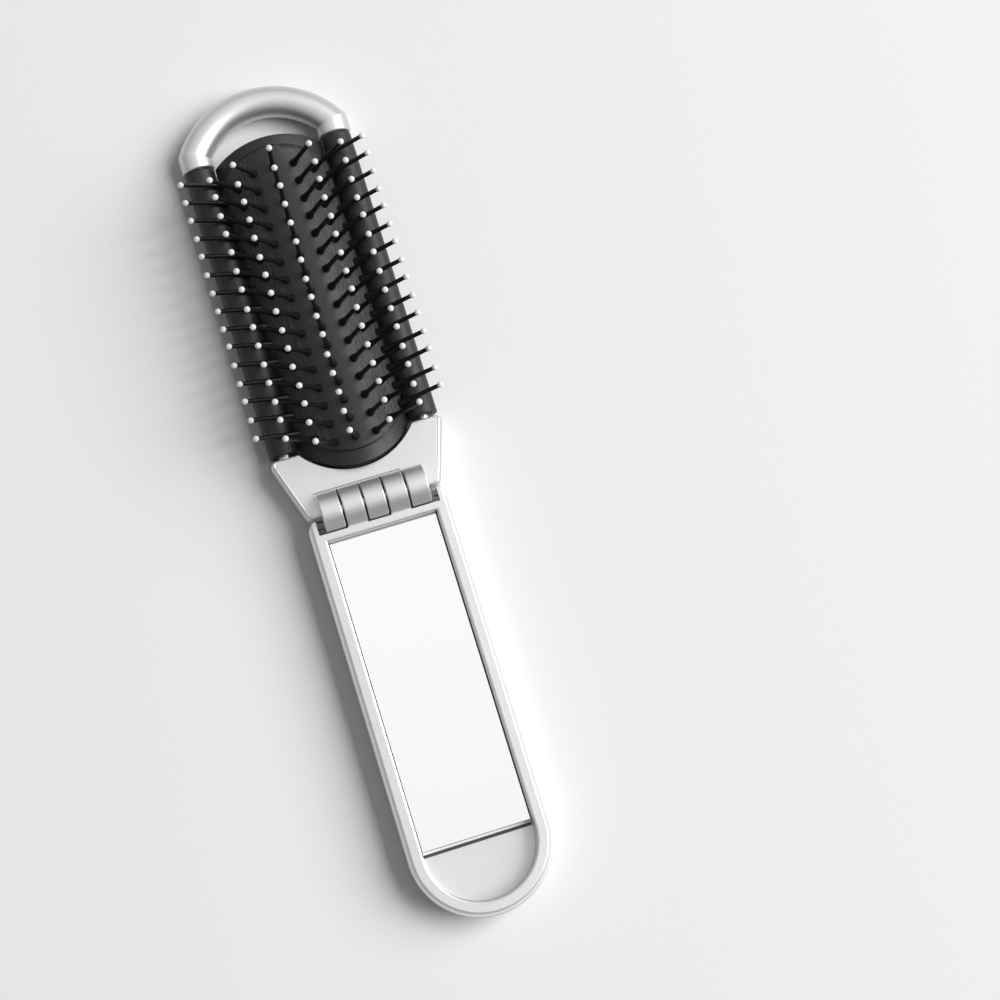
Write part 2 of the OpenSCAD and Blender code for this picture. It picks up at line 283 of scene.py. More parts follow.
def handle_plan(half, top_y, corner, grow=0.0, grow_end=0.0, arc_steps=96, corner_steps=8):
    """Straight sides, a round end and two corners at the hinge."""
    half, top_y = half + grow, top_y + grow_end
    rx = max(corner + grow, SHARP)
    ry = max(corner + grow_end, SHARP)
    right = []
    for i in range(corner_steps + 1):
        a = math.pi / 2 * i / corner_steps
        right.append((half - rx + rx * math.sin(a), top_y - ry + ry * math.cos(a)))
    end = []
    for i in range(arc_steps + 1):
        a = math.pi * i / arc_steps
        end.append((half * math.cos(a), END_Y - half * math.sin(a)))
    left = [(-x, y) for x, y in reversed(right)]
    return right + end + left


def polygon_plan(corners, offsets, radii, steps=6):
    """Convex polygon (anticlockwise) with each edge moved out by its offset and rounded corners."""
    lines = []
    count = len(corners)
    for i in range(count):
        a, b = Vector(corners[i]), Vector(corners[(i + 1) % count])
        along = (b - a).normalized()
        out = Vector((along.y, -along.x))
        lines.append((a + out * offsets[i], along))
    points = []
    for i in range(count):
        (p, d), (q, e) = lines[i - 1], lines[i]
        t = ((q - p).x * e.y - (q - p).y * e.x) / (d.x * e.y - d.y * e.x)
        corner = p + d * t
        turn = math.acos(max(-1, min(1, d.dot(e))))
        reach = radii[i] * math.tan(turn / 2)
        center = corner - d * reach + Vector((-d.y, d.x)) * radii[i]
        start = corner - d * reach - center
        for k in range(steps + 1):
            a = turn * k / steps
            c, s = math.cos(a), math.sin(a)
            points.append((center.x + start.x * c - start.y * s,
                           center.y + start.x * s + start.y * c))
    return points


def stack(name, levels):
    """Closed solid through outlines: levels is a list of (outline, height)."""
    return skin(name, [[(x, y, z) for x, y in outline] for outline, z in levels])


# ---- materials --------------------------------------------------------------------


def material(name, color, metallic=0.0, roughness=0.5, **sockets):
    """A principled material with its nodes, ready for texture."""
    mat = bpy.data.materials.new(name)
    mat.use_nodes = True
    shader = mat.node_tree.nodes["Principled BSDF"]
    shader.inputs["Base Color"].default_value = (*color, 1)
    shader.inputs["Metallic"].default_value = metallic
    shader.inputs["Roughness"].default_value = roughness
    for socket, value in sockets.items():
        shader.inputs[socket.replace("_", " ")].default_value = value
    return mat, mat.node_tree, shader


def texture(tree, scale, detail=3.0, stretch=(1, 1, 1)):
    """Noise in the piece's own space; scale is in features per metre."""
    place = tree.nodes.new("ShaderNodeTexCoord")
    mapping = tree.nodes.new("ShaderNodeMapping")
    mapping.inputs["Scale"].default_value = stretch
    noise = tree.nodes.new("ShaderNodeTexNoise")
    noise.inputs["Scale"].default_value = scale
    noise.inputs["Detail"].default_value = detail
    tree.links.new(place.outputs["Object"], mapping.inputs["Vector"])
    tree.links.new(mapping.outputs["Vector"], noise.inputs["Vector"])
    return noise.outputs["Fac"]


def spread(tree, source, low, high):
    """Maps a texture onto the range low to high."""
    node = tree.nodes.new("ShaderNodeMapRange")
    node.inputs["From Min"].default_value = 0.3
    node.inputs["From Max"].default_value = 0.7
    node.inputs["To Min"].default_value = low
    node.inputs["To Max"].default_value = high
    tree.links.new(source, node.inputs["Value"])
    return node.outputs["Result"]


def mix_colors(tree, share, dark, light):
    """Colour between dark and light by share."""
    node = tree.nodes.new("ShaderNodeMix")
    node.data_type = "RGBA"
    node.inputs["A"].default_value = (*dark, 1)
    node.inputs["B"].default_value = (*light, 1)
    tree.links.new(share, node.inputs["Factor"])
    return node.outputs["Result"]


def roughen(tree, shader, source, low, high):
    """Lets a texture vary the roughness from low to high."""
    tree.links.new(spread(tree, source, low, high), shader.inputs["Roughness"])


def tint(tree, shader, source, dark, light, low=0, high=1):
    """Lets a texture, spread from low to high, vary the colour from dark to light."""
    color = mix_colors(tree, spread(tree, source, low, high), dark, light)
    tree.links.new(color, shader.inputs["Base Color"])


def bump(tree, shader, height, strength, depth):
    """Fine relief of a texture."""
    node = tree.nodes.new("ShaderNodeBump")
    node.inputs["Strength"].default_value = strength
    node.inputs["Distance"].default_value = depth
    tree.links.new(height, node.inputs["Height"])
    tree.links.new(node.outputs["Normal"], shader.inputs["Normal"])


def satin_silver():
    """Silver paint: slow clouds of colour under fine flakes."""
    mat, tree, shader = material("satin_silver", (0.67, 0.67, 0.68), metallic=0.75, roughness=0.38)
    cloud = texture(tree, 60, 2)
    color = mix_colors(tree, spread(tree, cloud, 0, 1), (0.63, 0.635, 0.643), (0.665, 0.67, 0.678))
    flakes = texture(tree, 3400, 3)
    shade = tree.nodes.new("ShaderNodeMix")
    shade.data_type = "RGBA"
    shade.blend_type = "MULTIPLY"
    shade.inputs["Factor"].default_value = 1.0
    tree.links.new(color, shade.inputs["A"])
    tree.links.new(spread(tree, flakes, 0.955, 1.045), shade.inputs["B"])
    tree.links.new(shade.outputs["Result"], shader.inputs["Base Color"])
    roughen(tree, shader, flakes, 0.34, 0.42)
    bump(tree, shader, flakes, 0.35, 0.008 * MM)
    return mat


def rod_steel():
    """Drawn steel with fine lines."""
    mat, tree, shader = material("rod_steel", (0.62, 0.63, 0.65), metallic=1.0, roughness=0.25)
    roughen(tree, shader, texture(tree, 900, 3, (1, 12, 1)), 0.18, 0.34)
    return mat


def pad_rubber(name, grain):
    """Moulded rubber; grain adds the fine marks that run along the pad's flanks."""
    mat, tree, shader = material(name, (0.02, 0.02, 0.021), roughness=0.46, Specular_IOR_Level=0.4)
    if grain:
        height, depth = texture(tree, 1900, 6, (1.6, 0.17, 1.6)), 0.35 * MM
        tint(tree, shader, height, (0.009, 0.009, 0.009), (0.05, 0.05, 0.052), -0.6, 1.6)
    else:
        height, depth = texture(tree, 2600, 4), 0.06 * MM
        tint(tree, shader, height, (0.011, 0.011, 0.012), (0.021, 0.021, 0.022), -0.4, 1.4)
    roughen(tree, shader, texture(tree, 220, 4), 0.4, 0.52)
    bump(tree, shader, height, 0.7, depth)
    return mat


def painted_shade_rubber():
    """Dull cut edge of the pad: rougher than the rest, and darker, which is painted shade."""
    mat, tree, shader = material("pad_edge_painted_shade", (0.008, 0.008, 0.008), roughness=0.8,
                                 Specular_IOR_Level=0.12)
    roughen(tree, shader, texture(tree, 1200, 3), 0.7, 0.9)
    return mat


def pin_nylon():
    """Smooth black nylon."""
    mat, tree, shader = material("pin_black", (0.006, 0.006, 0.0065), roughness=0.36,
                                 Specular_IOR_Level=0.35)
    roughen(tree, shader, texture(tree, 900, 2), 0.3, 0.44)
    return mat


def tip_white():
    """Dipped white balls, slightly uneven."""
    mat, tree, shader = material("tip_white", (0.87, 0.87, 0.86), roughness=0.38)
    cloud = texture(tree, 1200, 2)
    tint(tree, shader, cloud, (0.84, 0.84, 0.83), (0.9, 0.9, 0.89))
    bump(tree, shader, cloud, 0.2, 0.03 * MM)
    return mat


def mirror_silver():
    """Silvered glass with a trace of haze."""
    mat, tree, shader = material("mirror_glass", (0.95, 0.955, 0.955), metallic=1.0, roughness=0.015)
    roughen(tree, shader, texture(tree, 35, 2), 0.01, 0.03)
    return mat


def painted_mirror_shade():
    """Painted shade: dark sides of the glass, a dark line above its ground edge and a dark strip at its
    foot, for the shade in the gap round the glass and in the groove under it.
    """
    mat, tree, shader = material("painted_mirror_shade", (0.06, 0.065, 0.068), roughness=0.3)
    roughen(tree, shader, texture(tree, 700, 2, (1, 1, 4)), 0.22, 0.4)
    return mat


def ground_edge():
    """Frosted edge of the glass."""
    mat, tree, shader = material("mirror_ground", (0.9, 0.9, 0.9), roughness=0.6)
    tint(tree, shader, texture(tree, 1500, 3), (0.86, 0.86, 0.86), (0.93, 0.93, 0.93))
    return mat


def foam_tape():
    """Foam with fine pores."""
    mat, tree, shader = material("tape", (0.5, 0.5, 0.5), roughness=0.9)
    bump(tree, shader, texture(tree, 2500, 3), 0.5, 0.05 * MM)
    return mat


SILVER = satin_silver()
STEEL = rod_steel()
RUBBER = pad_rubber("pad_black", False)
GRAINED_RUBBER = pad_rubber("pad_black_grained", True)
RUBBER_PAINTED_SHADE = painted_shade_rubber()
NYLON = pin_nylon()
WHITE = tip_white()
MIRROR = mirror_silver()
MIRROR_PAINTED_SHADE = painted_mirror_shade()
GROUND_EDGE = ground_edge()
TAPE = foam_tape()


def dress(obj, mat, slot, body, *nodes):
    """Gives a new piece its finish, the nodes that it stands for and its body. The slot is not used."""
    obj.data.materials.clear()
    obj.data.materials.append(mat)
    if nodes:
        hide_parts(*nodes)
    if body:
        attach(obj, body)
    return obj


# ---- head -------------------------------------------------------------------------


def knuckle_x(i):
    """Middle of knuckle i, counted from the left."""
    return (i - (KNUCKLES - 1) / 2) * KNUCKLE_PITCH


def barrel(knuckle):
    """Knuckle with rounded edges."""
    half = (KNUCKLE_PITCH - KNUCKLE_GAP) / 2
    edge = 0.3 * MM
    rising = [(-half + edge * i, KNUCKLE_R - edge * d) for i, d in quarter(4)]
    profile = rising + [(-along, radius) for along, radius in reversed(rising)]
    return lathe("knuckle", profile, 128, HINGE + Vector((knuckle_x(knuckle), 0, 0)), "X")


def room(knuckle):
    """Cutter for the room that a knuckle of the handle turns in."""
    half = KNUCKLE_PITCH / 2 + ROOM_MORE
    return lathe("room", [(-half, ROOM_R), (half, ROOM_R)], 128,
                 HINGE + Vector((knuckle_x(knuckle), 0, 0)), "X")


def plate_outline(side, top, hinge):
    """Plan of the plate, with its sides, its edge at the sleeves and that at the hinge moved in."""
    (foot_x, foot_y), (head_x, head_y) = PLATE_FOOT, PLATE_HEAD
    corners = [(-foot_x, foot_y), (foot_x, foot_y), (head_x, head_y), (-head_x, head_y)]
    offsets = [PLATE_ROUND - hinge, PLATE_ROUND - side, PLATE_ROUND - top, PLATE_ROUND - side]
    foot, head = PLATE_ROUND - (side + hinge) / 2, PLATE_ROUND - (side + top) / 2
    radii = [max(r, 0.1 * MM) for r in (foot, foot, head, head)]
    return polygon_plan(corners, offsets, radii)


def shoulder():
    """Plate with a beaded edge, a round bay for the pad's end and its three knuckles."""
    # Width of the beaded edge, and of the fine line inside it
    side, top, hinge = 1.05 * MM, 0.5 * MM, 0.8 * MM
    line = 0.11 * MM
    steps = list(quarter(7))

    def edge(share, more=0.0):
        """Outline at a share of the beaded edge's width."""
        return plate_outline(side * share + more, top * share + more, hinge * share + more)

    levels = [(edge(i), PLATE_ROUND * d) for i, d in reversed(steps)]
    levels += [(edge(i), PLATE_TOP_Z - PLATE_ROUND * d) for i, d in steps]
    levels += [(edge(1, line * 0.3), PLATE_TOP_Z - line), (edge(1, line * 1.2), PLATE_TOP_Z - line),
               (edge(1, line * 1.8), PLATE_TOP_Z)]
    plate = stack("shoulder", levels)
    # Round bay with a small lip above, and wider below for the pad's sides as they turn
    bay_r = PAD_END_R + PAD_GAP
    lip = 0.12 * MM
    relief_w, relief_h = 5.6985 * MM, 3.2 * MM
    bay = [(-BEYOND, bay_r + relief_w), (relief_h, bay_r), (PLATE_TOP_Z - lip, bay_r)]
    bay += [(PLATE_TOP_Z - lip * d, bay_r + lip * i) for i, d in list(quarter(4))[1:]]
    bay += [(PLATE_TOP_Z + BEYOND, bay_r + lip)]
    cut(plate, lathe("bay", bay, 192, (0, PAD_END_Y[0], 0), "Z"))
    for knuckle in HANDLE_KNUCKLES:
        cut(plate, room(knuckle))
    # Fine line behind the knuckles and down beside the first one
    front, back, width, depth = HINGE.y + 1.2 * MM, HINGE.y + 4.85 * MM, 0.32 * MM, 0.3 * MM
    left, right = knuckle_x(0) - 2.85 * MM, knuckle_x(3) + 2.5 * MM
    low, high = PLATE_TOP_Z - depth, PLATE_TOP_Z + depth
    cut(plate, box("line", (left, back, low), (right, back + width, high)),
        box("line", (left - width, front, low), (left, back + width, high)))
    # Ejector marks, at places from the middle of the hinge
    mark_r, mark_depth = 0.16 * MM, 0.1 * MM
    for x, y in ((-11.66 * MM, 7.34 * MM), (10.86 * MM, 7.95 * MM)):
        cut(plate, lathe("ejector", [(-mark_depth, mark_r), (BEYOND, mark_r)], 12,
                         (x, HINGE.y + y, PLATE_TOP_Z), "Z"))
    smooth(plate)
    barrels = [smooth(barrel(knuckle)) for knuckle in HEAD_KNUCKLES]
    return dress(smooth(join("shoulder_plate_silver", [plate] + barrels)), SILVER, "satin_silver",
                 "head", "shoulder_plate")


def bow():
    """Bent tube that meets two straight collars at a mitre, as one skin."""
    half_angle = math.asin(ROD.x / BOW_RADIUS)
    mitre_y = BOW_CENTER_Y + BOW_RADIUS * math.cos(half_angle)
    mitre = (math.pi / 2 - half_angle) / 2
    # The arc is thinner than its collars, which have a round lip and a ledge just before the mitre
    thinner, ledge = 0.2 * MM, 0.03 * MM
    tube_r = BOW_TUBE - thinner
    lip, crease = 0.45 * MM, 0.22 * MM
    around, steps = 96, 96
    turns = [math.tau * i / around for i in range(around)]

    def collar_ring(side, radius, y, slope):
        """Ring of a collar; slope tilts it toward the mitre."""
        return [Vector((side * (ROD.x + radius * math.cos(t)), y + radius * math.cos(t) * slope,
                        ROD.z + radius * math.sin(t))) for t in turns]

    def arc_point(t, share):
        """Point of the arc at turn t; share runs from -1 to 1 between the mitres."""
        reach = BOW_RADIUS + thinner + tube_r * math.cos(t)
        end = math.acos(BOW_RADIUS * math.cos(half_angle + mitre) / reach) - mitre
        a = end * share
        return Vector((reach * math.sin(a), BOW_CENTER_Y + reach * math.cos(a),
                       ROD.z + tube_r * math.sin(t)))

    def collar(side):
        """Rings from the rounded end to the mitre."""
        rings = [collar_ring(side, BOW_TUBE - lip * d, COLLAR_START + lip * i, 0)
                 for i, d in quarter(6)]
        rings.append(collar_ring(side, BOW_TUBE, mitre_y - crease, math.tan(mitre)))
        rings.append(collar_ring(side, BOW_TUBE - ledge, mitre_y, math.tan(mitre)))
        return rings

    arc = [[arc_point(t, 2 * k / steps - 1) for t in turns] for k in range(steps + 1)]
    tube = skin("bow_silver", collar(-1) + arc + collar(1)[::-1])
    return dress(smooth(tube, 40), SILVER, "satin_silver", "head", "end_bow")


def sleeve(side):
    """Black sleeve with rounded ends, a little longer at the hinge than in the solids."""
    edge, longer = 0.35 * MM, 0.6 * MM
    ends = [(edge * i, SLEEVE_R - edge * d) for i, d in quarter(7)]
    profile = [(SLEEVE_LO.y - longer + along, radius) for along, radius in ends]
    profile += [(SLEEVE_HI.y - along, radius) for along, radius in reversed(ends)]
    tube = lathe("sleeve", profile, 96, (side * ROD.x, 0, ROD.z))
    name = "left" if side < 0 else "right"
    return dress(smooth(tube), RUBBER, "pad_black", f"pad_side_{name}", f"pad_sleeve_{name}")


# ---- pad --------------------------------------------------------------------------


def fade(x, last, width, least=0.0):
    """1 near the middle of the brush, then falling over width until it is least at last."""
    return min(1, max(least, (last - abs(x)) / width))


def pad_rows(x):
    """Rows along the pad at one x: (y, outer radius of the vault there), from hinge to bow."""
    line = 0.2 * MM
    low = PAD_R - BORDER_STEP
    # (inset from the rim, radius): flat border, fine groove, step
    step = [(BORDER_W - 2 * line, low), (BORDER_W - 1.9 * line, low - line),
            (BORDER_W - 0.7 * line, low - line), (BORDER_W - 0.4 * line, PAD_R - 0.08 * MM),
            (BORDER_W, PAD_R)]

    def ends(slope):
        """Rounded rim, lower by slope, and the rest of the border."""
        rim = [(RIM_EDGE * i, low - slope - RIM_EDGE * d) for i, d in quarter(RIM_STEPS)]
        return rim + step

    def hinge_y(inset):
        """Place of a row at the hinge end, an arc round the pad's end."""
        nearer = RIM_NEARER * fade(x, 13 * MM, 2 * MM)
        rim = PAD_END_Y[0] - math.sqrt((PAD_END_R - inset) ** 2 - x * x)
        return rim - nearer * max(0, 1 - inset / (BORDER_W / 2))

    def bow_y(inset):
        """Place of a row at the bow end, between the flat arc of the rim and that of the step."""
        rim = BOW_RIM_Y - BOW_RIM_R + math.sqrt(BOW_RIM_R ** 2 - x * x)
        inside = BOW_STEP_Y - BOW_STEP_R + math.sqrt(BOW_STEP_R ** 2 - x * x)
        return rim + (inside - rim) * inset / BORDER_W

    slope = BORDER_SLOPE * fade(x, 12 * MM, 5 * MM)
    rows = [(hinge_y(inset), radius) for inset, radius in ends(slope)]
    first, last = rows[-1][0], bow_y(BORDER_W)
    between = 60
    rows += [(first + (last - first) * k / between, PAD_R) for k in range(1, between)]
    rows += [(bow_y(inset), radius) for inset, radius in reversed(ends(0))]
    return rows


def pad_skin(name, start, stop, columns):
    """Closed skin of the vault between two angles from its crown."""
    skirt_fall = 0.3 * MM
    outer, inner = [], []
    for k in range(columns + 1):
        a = start + (stop - start) * k / columns
        rows = pad_rows(PAD_R * math.sin(a))
        above = [Vector((r * math.sin(a), y, PAD_AXIS_Z + r * math.cos(a))) for y, r in rows]
        r = PAD_R - PAD_THICK
        below = [Vector((r * math.sin(a), y, PAD_AXIS_Z + r * math.cos(a))) for y, _ in rows]
        # The rim at the hinge goes on downward as a skirt in the plate's bay
        depth = SKIRT * fade(above[0].x, 13.5 * MM, 6 * MM, 0.3)
        for i in range(RIM_STEPS + 1):
            below[i] = above[i] - Vector((0, 0, depth + skirt_fall * i / RIM_STEPS))
        outer.append(above)
        inner.append(below)
    count = len(outer[0])
    verts = [p for column in outer + inner for p in column]
    shift = (columns + 1) * count
    faces = []
    for k in range(columns):
        for i in range(count - 1):
            a, b = k * count + i, (k + 1) * count + i
            faces.append((a, b, b + 1, a + 1))
            faces.append((shift + a, shift + a + 1, shift + b + 1, shift + b))
        for i in (0, count - 1):
            a, b = k * count + i, (k + 1) * count + i
            faces.append((a, b, shift + b, shift + a))
    for k in (0, columns):
        for i in range(count - 1):
            a = k * count + i
            faces.append((a, a + 1, shift + a + 1, shift + a))
    return smooth(new_object(name, verts, faces), 50, weighted=False)


def border_finish(obj):
    """Gives the pad's borders and inside plain rubber, and its end walls the darker edge rubber, painted
    shade.
    """
    plain, painted_shade_index = 1, 2
    obj.data.materials.append(RUBBER)
    obj.data.materials.append(RUBBER_PAINTED_SHADE)
    for face in obj.data.polygons:
        x, _, z = face.center
        # End walls take the darker rubber: painted shade
        if abs(face.normal.y) > 0.75:
            face.material_index = painted_shade_index
        elif math.hypot(x, z - PAD_AXIS_Z) < PAD_R - 0.1 * MM:
            face.material_index = plain


def pad():
    """The pad's middle, its two flanks and the strips that bend between them."""
    middle = dress(pad_skin("pad_middle_skin", -MIDDLE_ANGLE, MIDDLE_ANGLE, 44), RUBBER, "pad_black",
                   "pad_middle", "pad_center")
    border_finish(middle)
    for side, name in ((-1, "left"), (1, "right")):
        start, stop = sorted((side * FLANK_ANGLE, side * FLANK_FOOT_ANGLE))
        flank = dress(pad_skin(f"pad_flank_{name}", start, stop, 26), GRAINED_RUBBER, "pad_black",
                      f"pad_side_{name}", f"pad_flap_{name}")
        border_finish(flank)
        start, stop = sorted((side * MIDDLE_ANGLE, side * FLANK_ANGLE))
        web = dress(pad_skin(f"pad_bend_{name}", start, stop, 10), GRAINED_RUBBER, "pad_black",
                    None, f"pad_web_{name}")
        border_finish(web)
        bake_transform(web)


# ---- pins -------------------------------------------------------------------------


def pin_profile():
    """(height, radius) up a pin: flared root, slim shaft that ends inside its ball."""
    sunk, steps, curve = 0.4 * MM, 7, 1.35
    points = [(-sunk, ROOT_R)]
    for k in range(steps + 1):
        t = k / steps
        points.append((ROOT_H * t, SHAFT_R + (ROOT_R - SHAFT_R) * (1 - t) ** curve))
    points.append((PIN_LENGTH - sunk, SHAFT_TOP_R))
    return points


def pin_mesh(place, around=14):
    """Points and faces of one pin at its place."""
    verts, faces = [], []
    profile = pin_profile()
    for height, radius in profile:
        for i in range(around):
            a = math.tau * i / around
            verts.append(place @ Vector((radius * math.cos(a), radius * math.sin(a), height)))
    for k in range(len(profile) - 1):
        for i in range(around):
            j = (i + 1) % around
            faces.append((k * around + i, k * around + j, (k + 1) * around + j, (k + 1) * around + i))
    faces.append(tuple(reversed(range(around))))
    faces.append(tuple(range((len(profile) - 1) * around, len(profile) * around)))
    return verts, faces


def row_of_pins(row, side, name, body):
    """One row of pins and its tips, as two pieces."""
    lo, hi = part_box(f"tips_{name}")
    count = round((hi.y - lo.y - 2 * TIP_R) / PIN_PITCH) + 1
    foot, lean = (math.radians(a) * side for a in ROWS[row])
    base = Matrix.Translation((0, 0, PAD_AXIS_Z)) @ Matrix.Rotation(foot, 4, "Y")
    base = base @ Matrix.Translation((0, 0, PAD_R)) @ Matrix.Rotation(lean, 4, "Y")
    hinge_end, bow_end = Vector(SWAYS[name][:2]), Vector(SWAYS[name][2:])
    chance = random.Random(f"{name} pins")
    verts, faces = [], []
    balls = bmesh.new()
    for i in range(count):
        y = lo.y + TIP_R + i * PIN_PITCH
        share = i / (count - 1)
        across, along = hinge_end.lerp(bow_end, share) * MM / PIN_LENGTH
        more_along = math.radians(chance.uniform(-TURN_ALONG, TURN_ALONG))
        more_across = math.radians(chance.uniform(-TURN_ACROSS, TURN_ACROSS))
        tilt = Matrix.Rotation(more_along - along, 4, "X")
        tilt = tilt @ Matrix.Rotation(more_across + across, 4, "Y")
        place = Matrix.Translation((0, y, 0)) @ base @ tilt
        more_verts, more_faces = pin_mesh(place)
        faces += [tuple(v + len(verts) for v in face) for face in more_faces]
        verts += more_verts
        ball = place @ Matrix.Translation((0, 0, PIN_LENGTH))
        bmesh.ops.create_icosphere(balls, subdivisions=3, radius=BALL_R, matrix=ball)
    pins = smooth(new_object(f"pins_{name}", verts, faces), 40, weighted=False)
    dress(pins, NYLON, "pin_black", body, f"pin_row_{name}")
    mesh = bpy.data.meshes.new(f"balls_{name}")
    balls.to_mesh(mesh)
    balls.free()
    mesh.shade_smooth()
    tips = bpy.data.objects.new(f"balls_{name}", mesh)
    bpy.context.scene.collection.objects.link(tips)
    dress(tips, WHITE, "tip_white", body, f"tips_{name}")


def all_pins():
    """Seven rows: three on the pad's middle and two on each side."""
    row_of_pins("center", 1, "center", "pad_middle")
    for side, name in ((-1, "left"), (1, "right")):
        row_of_pins("inner", side, f"inner_{name}", "pad_middle")
        row_of_pins("middle", side, f"middle_{name}", f"pad_side_{name}")
        row_of_pins("outer", side, f"outer_{name}", f"pad_side_{name}")


# ---- handle -----------------------------------------------------------------------


def pocket_room():
    """Cutter for the pocket that the row of knuckles turns in."""
    return lathe("pocket", [(-POCKET_HALF, ROOM_R), (POCKET_HALF, ROOM_R)], 128, HINGE, "X")


def shell():
    """Back cover of the handle, rounded at its back edges."""
    wall, bottom = 1.5 * MM, 1.3 * MM
    # Rounding of the back edges, of that at the hinge, and of the lip at the seam
    big, end_big, lip = 3.5 * MM, 0.8 * MM, 0.25 * MM

    def plan(grow, grow_end):
        """Outline of the cover."""
        return handle_plan(SHELL_HALF, HANDLE_TOP_Y, HANDLE_CORNER, grow, grow_end)

    levels = [(plan(-big * i, -end_big * i), big * d) for i, d in reversed(list(quarter(12)))]
    levels += [(plan(-lip * i, -lip * i), SEAM_Z - lip * d) for i, d in quarter(3)]
    levels += [(plan(-wall, -wall), SEAM_Z), (plan(-wall, -wall), bottom)]
    body = stack("shell", levels)
    cut(body, pocket_room())
    return dress(smooth(body), SILVER, "satin_silver", "handle", "handle_shell")


def recess_cutter():
    """What is taken out of the tray: recess with a small fillet below and a stepped lip above."""
    fillet, flare, ledge = 0.25 * MM, 0.42 * MM, 0.12 * MM
    # How far the ledge above the flare stands back, at its foot and at its top
    back_low, back_high = 0.05 * MM, 0.08 * MM

    def plan(grow):
        """Outline of the recess."""
        return handle_plan(RECESS_HALF, CROSSBAR_Y, SHARP, grow, grow)

    levels = [(plan(-fillet * i), FLOOR_Z + fillet * d) for i, d in reversed(list(quarter(5)))]
    top = RIM_Z - ledge
    levels += [(plan(flare * i), top - flare * d) for i, d in quarter(5)]
    levels += [(plan(flare + back_low), top), (plan(flare + back_high), RIM_Z),
               (plan(flare + back_high), RIM_Z + BEYOND)]
    return stack("recess", levels)


def tray():
    """Front moulding of the handle: rim, crossbar, prongs, recess, two knuckles."""
    corner = 1.2 * MM
    # Rounding of the rim's upper and lower edge, width of the seam and the body's setback in it
    edge, lower, seam, setback = 0.5 * MM, 0.2 * MM, 0.22 * MM, 1.6 * MM

    def rim(grow):
        """Outline of the flat rim."""
        return handle_plan(RIM_HALF, HANDLE_TOP_Y, corner, grow, grow)

    body = handle_plan(TRAY_BODY_HALF, HANDLE_TOP_Y, HANDLE_CORNER, 0, -setback)
    levels = [(body, FLOOR_Z - BEYOND), (body, SEAM_Z + seam)]
    levels += [(rim(-lower * i), SEAM_Z + seam + lower * d) for i, d in reversed(list(quarter(3)))]
    levels += [(rim(-edge * i), RIM_Z - edge * d) for i, d in quarter(6)]
    block = stack("tray", levels)
    # Groove under the lower end of the glass
    around, before, under = 0.1 * MM, 0.35 * MM, 0.5 * MM
    groove_lo = (MIRROR_LO.x - around, MIRROR_LO.y - before, FLOOR_Z - under)
    groove_hi = (MIRROR_HI.x + around, MIRROR_LO.y + under, FLOOR_Z + under)
    cut(block, recess_cutter(), box("groove", groove_lo, groove_hi), pocket_room())
    # The pocket of the hinge is open above
    open_lo = (-POCKET_HALF, HINGE.y - 3.2 * MM, HINGE.z)
    open_hi = (POCKET_HALF, HINGE.y + 2 * MM, HINGE.z + KNUCKLE_R)
    cut(block, box("pocket_opening", open_lo, open_hi))
    smooth(block)
    parts = [block]
    half = (KNUCKLE_PITCH - KNUCKLE_GAP) / 2
    leg_start, leg_end, leg_top = HINGE.y - 5.4 * MM, HINGE.y - 2.25 * MM, RIM_Z - 0.02 * MM
    for knuckle in HANDLE_KNUCKLES:
        parts.append(smooth(barrel(knuckle)))
        x = knuckle_x(knuckle)
        parts.append(box("leg", (x - half, leg_start, FLOOR_Z), (x + half, leg_end, leg_top)))
    return dress(join("tray_silver", parts), SILVER, "satin_silver", "handle", "handle_tray")


def mirror():
    """Glass with a bright ground edge at its lower end; its dark sides, a dark line above that edge and
    a dark strip at its foot are painted shade.
    """
    corners = [(MIRROR_LO.x, MIRROR_LO.y), (MIRROR_HI.x, MIRROR_LO.y),
               (MIRROR_HI.x, MIRROR_HI.y), (MIRROR_LO.x, MIRROR_HI.y)]
    gap, corner = 0.15 * MM, 0.15 * MM
    # Width of the bevel, of the ground edge and of the dark line above it (painted shade), and their
    # heights
    fine, ground, line = 0.08 * MM, 0.55 * MM, 0.14 * MM
    bevel, drop, hair = 0.16 * MM, 0.05 * MM, 0.01 * MM
    top = MIRROR_HI.z

    def plan(side, lower):
        """Outline of the glass, with its sides and its lower end moved in."""
        return polygon_plan(corners, [-lower, -gap - side, -side, -gap - side], [corner] * 4, 4)

    levels = [(plan(0, 0), MIRROR_LO.z), (plan(0, 0), top - bevel), (plan(fine, ground), top - drop),
              (plan(fine + hair, ground + line), top - drop),
              (plan(fine + 2 * hair, ground + line), top)]
    glass = stack("mirror_pane", levels)
    glass.data.shade_flat()
    dress(glass, MIRROR, "mirror_glass", "handle", "mirror")
    # Faces in painted shade: the glass's sides and the line above the ground edge; the ground edge
    # itself is frosted
    dark, frosted = 1, 2
    glass.data.materials.append(MIRROR_PAINTED_SHADE)
    glass.data.materials.append(GROUND_EDGE)
    for face in glass.data.polygons:
        _, y, z = face.center
        if abs(face.normal.z) < 0.1:
            face.material_index = dark
        elif y < MIRROR_LO.y + ground + line and z < top - drop / 2:
            face.material_index = frosted if z < top - drop * 1.1 else dark
    # Dark strip at the glass's foot, in the groove under it: painted shade
    reach, clear, sunk, height = 0.78 * MM, 0.05 * MM, 0.3 * MM, 0.12 * MM
    strip = box("mirror_foot_painted_shade", (MIRROR_LO.x + gap, MIRROR_LO.y - reach, FLOOR_Z - sunk),
                (MIRROR_HI.x - gap, MIRROR_LO.y - clear, FLOOR_Z + height))
    dress(strip, MIRROR_PAINTED_SHADE, "mirror_glass", "handle")


# ---- stage ------------------------------------------------------------------------


